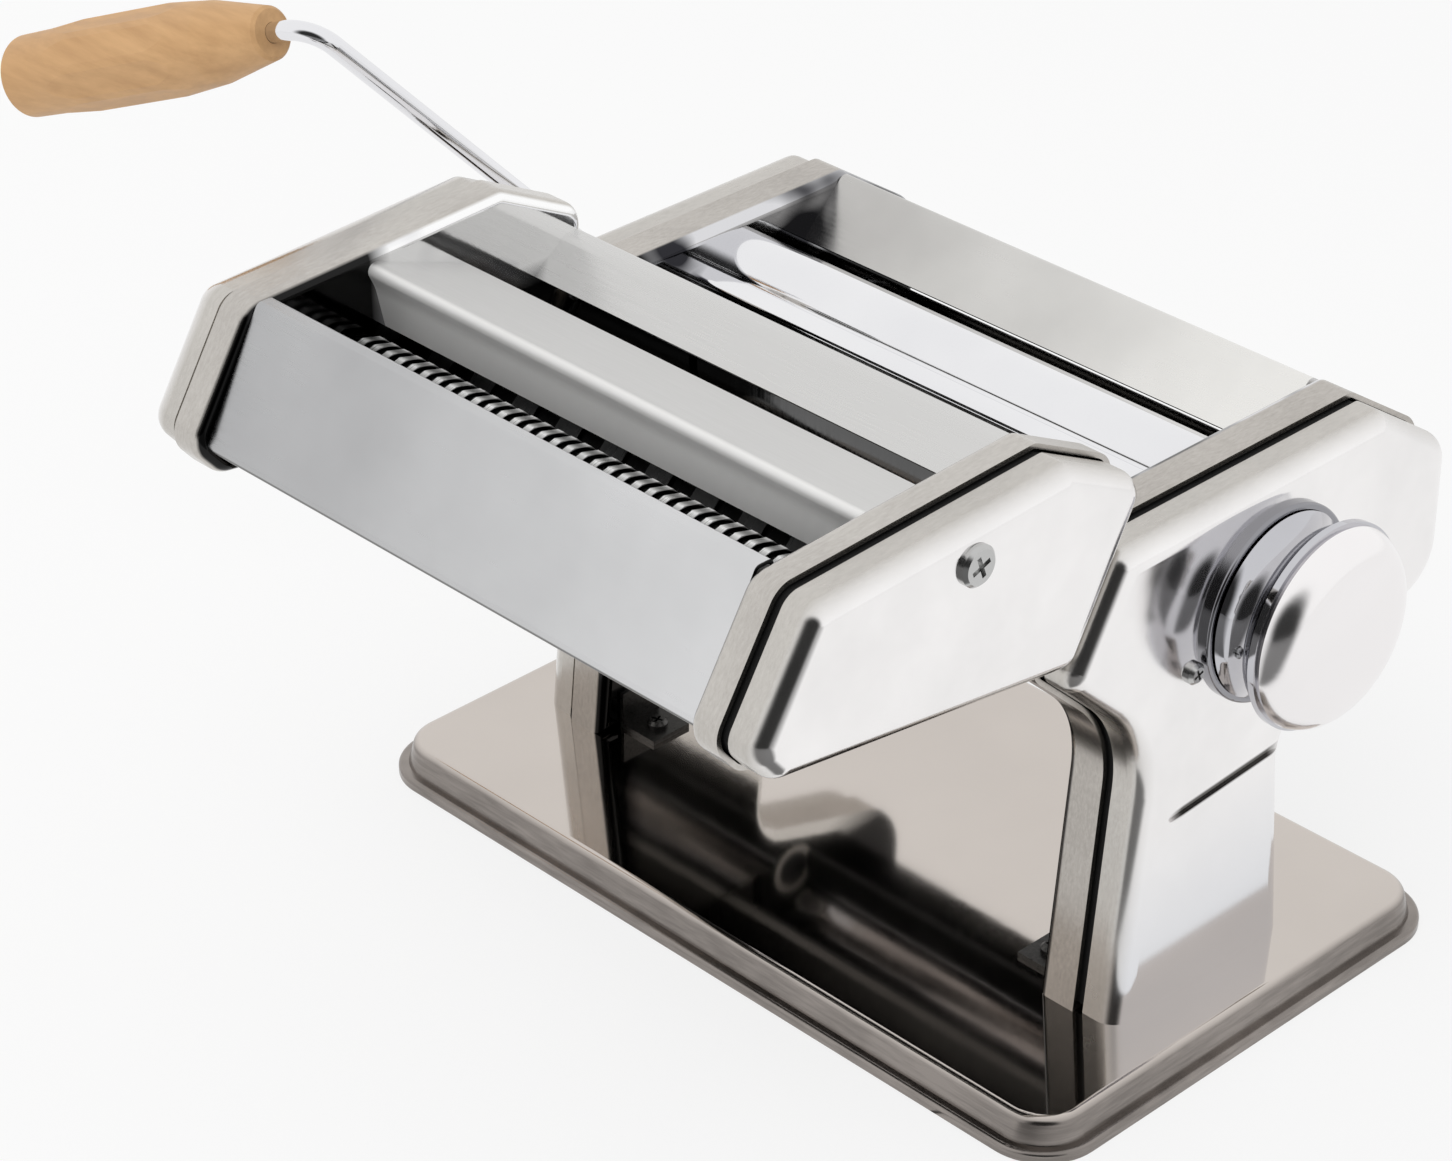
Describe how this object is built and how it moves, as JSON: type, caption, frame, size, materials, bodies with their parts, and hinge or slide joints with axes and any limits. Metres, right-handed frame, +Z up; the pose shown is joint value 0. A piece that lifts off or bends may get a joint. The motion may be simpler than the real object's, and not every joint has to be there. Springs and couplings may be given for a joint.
{
  "type": "pasta roller machine",
  "caption": "Hand-cranked sheet roller with a waisted side frame, a thickness knob, and a slide-on double cutter unit in front.",
  "frame": {"origin": "on the resting face, at the middle of the base's front rim", "axes": "+X towards the thickness knob, +Y to the back where dough is fed in, +Z up"},
  "size_m": [0.3346, 0.2214, 0.1947],
  "materials": {
    "base_steel": "polished chrome plate",
    "cover_steel": "polished chrome plate",
    "frame_steel": "satin plated",
    "panel_steel": "polished",
    "roller_steel": "fine ground",
    "cutter_steel": "ground",
    "gear_steel": "as cut",
    "bush_nylon": "moulded",
    "knob_chrome": "polished",
    "screw_steel": "plated",
    "crank_steel": "polished",
    "grip_wood": "pale varnished",
    "grip_plug": "pale varnished"
  },
  "bodies": {
    "machine": {"base_plate": "base_steel", "side_frame_right": "frame_steel", "side_frame_left": "frame_steel", "side_cover_right": "cover_steel", "side_cover_left": "cover_steel", "foot_tabs": "frame_steel", "tie_rods": "frame_steel", "foot_screws": "screw_steel", "left_cover_screws": "screw_steel", "dial_screws": "screw_steel", "hopper_rear_plate": "panel_steel", "front_hood": "panel_steel", "roller_bushes": "bush_nylon", "drive_bush": "bush_nylon", "scraper_rear": "bush_nylon", "docking_rails": "frame_steel", "dial_plate": "knob_chrome"},
    "carriage": {"carriage_block_right": "frame_steel", "carriage_block_left": "frame_steel", "carriage_bar": "frame_steel", "scraper_front": "bush_nylon"},
    "adjuster": {"adjusting_shaft": "gear_steel"},
    "knob": {"knob_barrel": "knob_chrome", "knob_cap": "knob_chrome"},
    "front_roller": {"roller_front": "roller_steel", "roller_gear_front": "gear_steel"},
    "rear_roller": {"roller_rear": "roller_steel", "roller_gear_rear": "gear_steel"},
    "drive": {"drive_pinion": "gear_steel", "drive_socket": "gear_steel"},
    "crank": {"crank_rod": "crank_steel"},
    "grip": {"crank_grip": "grip_wood", "grip_cap": "grip_plug"},
    "cutter_unit": {"cutter_end_plate_right": "frame_steel", "cutter_end_plate_left": "frame_steel", "cutter_end_cover_right": "cover_steel", "cutter_end_cover_left": "cover_steel", "cutter_cover_screws": "screw_steel", "cutter_front_panel": "panel_steel", "cutter_ridge_plate": "panel_steel", "cutter_back_plate": "panel_steel", "fine_comb_front": "bush_nylon", "fine_comb_rear": "bush_nylon", "wide_comb_front": "bush_nylon", "wide_comb_rear": "bush_nylon"},
    "fine_front": {"fine_shaft_front": "cutter_steel", "fine_gear_front": "gear_steel"},
    "fine_rear": {"fine_shaft_rear": "cutter_steel", "fine_gear_rear": "gear_steel"},
    "wide_front": {"wide_shaft_front": "cutter_steel", "wide_gear_front": "gear_steel"},
    "wide_rear": {"wide_shaft_rear": "cutter_steel", "wide_gear_rear": "gear_steel"}
  },
  "joints": [
    {"name": "crank_turn", "type": "hinge", "parent": "machine", "child": "drive", "pos_m": [-0.0945, 0.10514, 0.08185], "axis": [1, 0, 0], "continuous": true},
    {"name": "crank_pull", "type": "slide", "parent": "drive", "child": "crank", "axis": [-1, 0, 0], "range_m": [0, 0.014]},
    {"name": "grip_spin", "type": "hinge", "parent": "crank", "child": "grip", "pos_m": [-0.12513, -0.00003, 0.19346], "axis": [-0.9135, -0.1719, -0.3686], "continuous": true},
    {"name": "rear_roller_turn", "type": "hinge", "parent": "machine", "child": "rear_roller", "pos_m": [0, 0.11115, 0.102], "axis": [1, 0, 0], "continuous": true},
    {"name": "thickness_slide", "type": "slide", "parent": "machine", "child": "carriage", "axis": [0, 1, 0], "range_m": [0, 0.0025]},
    {"name": "front_roller_turn", "type": "hinge", "parent": "carriage", "child": "front_roller", "pos_m": [0, 0.08215, 0.102], "axis": [1, 0, 0], "continuous": true},
    {"name": "thickness_turn", "type": "hinge", "parent": "machine", "child": "adjuster", "pos_m": [0.0945, 0.0834, 0.102], "axis": [1, 0, 0], "range_deg": [0, 180]},
    {"name": "knob_pull", "type": "slide", "parent": "adjuster", "child": "knob", "axis": [1, 0, 0], "range_m": [0, 0.0035], "stiffness_N_per_m": 400, "springref_m": -0.004},
    {"name": "cutter_lift", "type": "slide", "parent": "machine", "child": "cutter_unit", "axis": [0, 0.4879, 0.8729], "range_m": [0, 0.025]},
    {"name": "fine_cutter_turn", "type": "hinge", "parent": "cutter_unit", "child": "fine_front", "pos_m": [0, -0.0488, 0.135], "axis": [1, 0, 0], "continuous": true},
    {"name": "fine_rear_turn", "type": "hinge", "parent": "cutter_unit", "child": "fine_rear", "pos_m": [0, -0.0304, 0.135], "axis": [1, 0, 0], "continuous": true},
    {"name": "wide_cutter_turn", "type": "hinge", "parent": "cutter_unit", "child": "wide_rear", "pos_m": [0, 0.0106, 0.1275], "axis": [1, 0, 0], "continuous": true},
    {"name": "wide_front_turn", "type": "hinge", "parent": "cutter_unit", "child": "wide_front", "pos_m": [0, -0.0078, 0.1275], "axis": [1, 0, 0], "continuous": true}
  ],
  "couplings": [
    {"joint": "rear_roller_turn", "follows": "crank_turn", "ratio": -0.57143},
    {"joint": "front_roller_turn", "follows": "crank_turn", "ratio": 0.57143},
    {"joint": "thickness_turn", "follows": "thickness_slide", "rad_per_m": 1256.6},
    {"joint": "fine_rear_turn", "follows": "fine_cutter_turn", "ratio": -1},
    {"joint": "wide_front_turn", "follows": "wide_cutter_turn", "ratio": -1}
  ]
}
